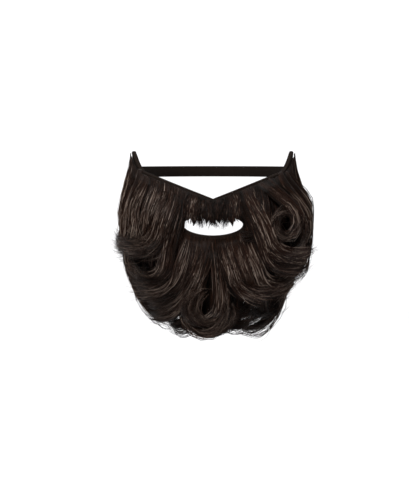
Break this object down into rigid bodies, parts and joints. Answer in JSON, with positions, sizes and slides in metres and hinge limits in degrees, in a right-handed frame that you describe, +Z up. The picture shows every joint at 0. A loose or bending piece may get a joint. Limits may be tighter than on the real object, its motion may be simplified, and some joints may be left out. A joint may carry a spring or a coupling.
{
  "type": "fake beard",
  "caption": "Full curly costume beard with moustache, on a shaped cloth backing with a mouth opening and an elastic strap.",
  "frame": {"origin": "inside of the backing at the point of the chin", "axes": "+Z up, +Y back towards the head, +X to the right as seen from the front"},
  "size_m": [0.1863, 0.2044, 0.163],
  "materials": {
    "backing_cloth": "matt knitted cloth",
    "binding_cloth": "matt folded tape",
    "elastic": "woven elastic",
    "hair": "glossy synthetic fibre"
  },
  "bodies": {
    "root": {"backing": "backing_cloth", "top_binding": "binding_cloth", "mouth_binding": "binding_cloth", "elastic_strap": "elastic", "moustache_weft": "hair", "left_cheek_weft": "hair", "right_cheek_weft": "hair", "chin_weft": "hair"}
  },
  "joints": []
}
